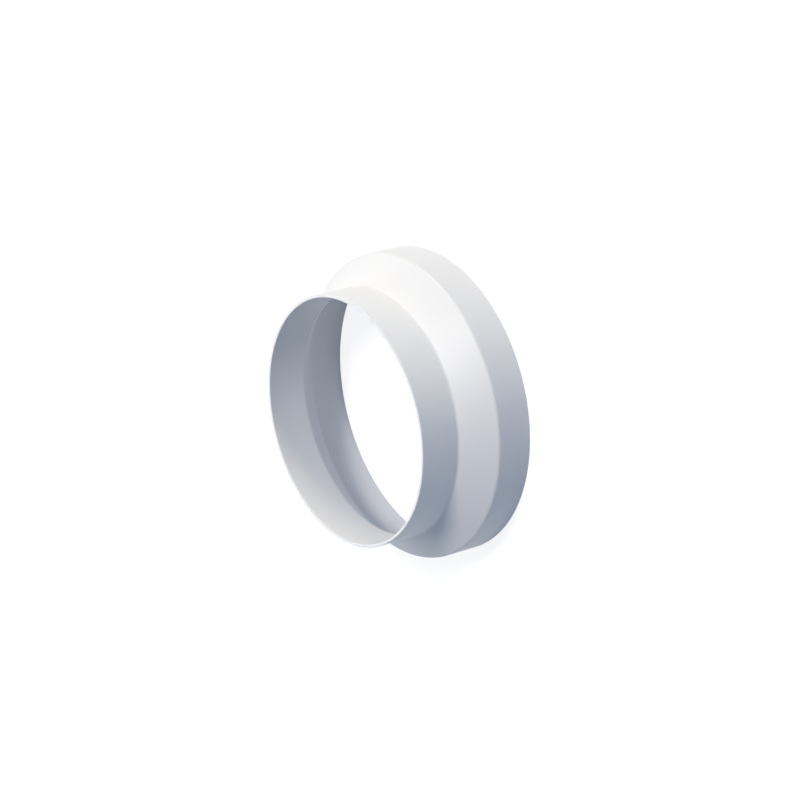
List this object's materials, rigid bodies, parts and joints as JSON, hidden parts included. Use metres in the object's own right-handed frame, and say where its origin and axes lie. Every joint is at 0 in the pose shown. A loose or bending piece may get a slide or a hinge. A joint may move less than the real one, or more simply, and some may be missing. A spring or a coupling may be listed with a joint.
{
  "type": "duct reducer",
  "caption": "Short round duct reducer moulded in one piece: a small and a large plain spigot joined by a steep cone, open right through.",
  "frame": {"origin": "centre of the large end's rim face, on the surface that the reducer stands on", "axes": "+Z along the duct's axis, from the large end to the small end; the part looks the same from every side"},
  "size_m": [0.122, 0.122, 0.043],
  "materials": {
    "white_pvc": "satin white, as moulded"
  },
  "bodies": {
    "root": {"reducer": "white_pvc"}
  },
  "joints": []
}
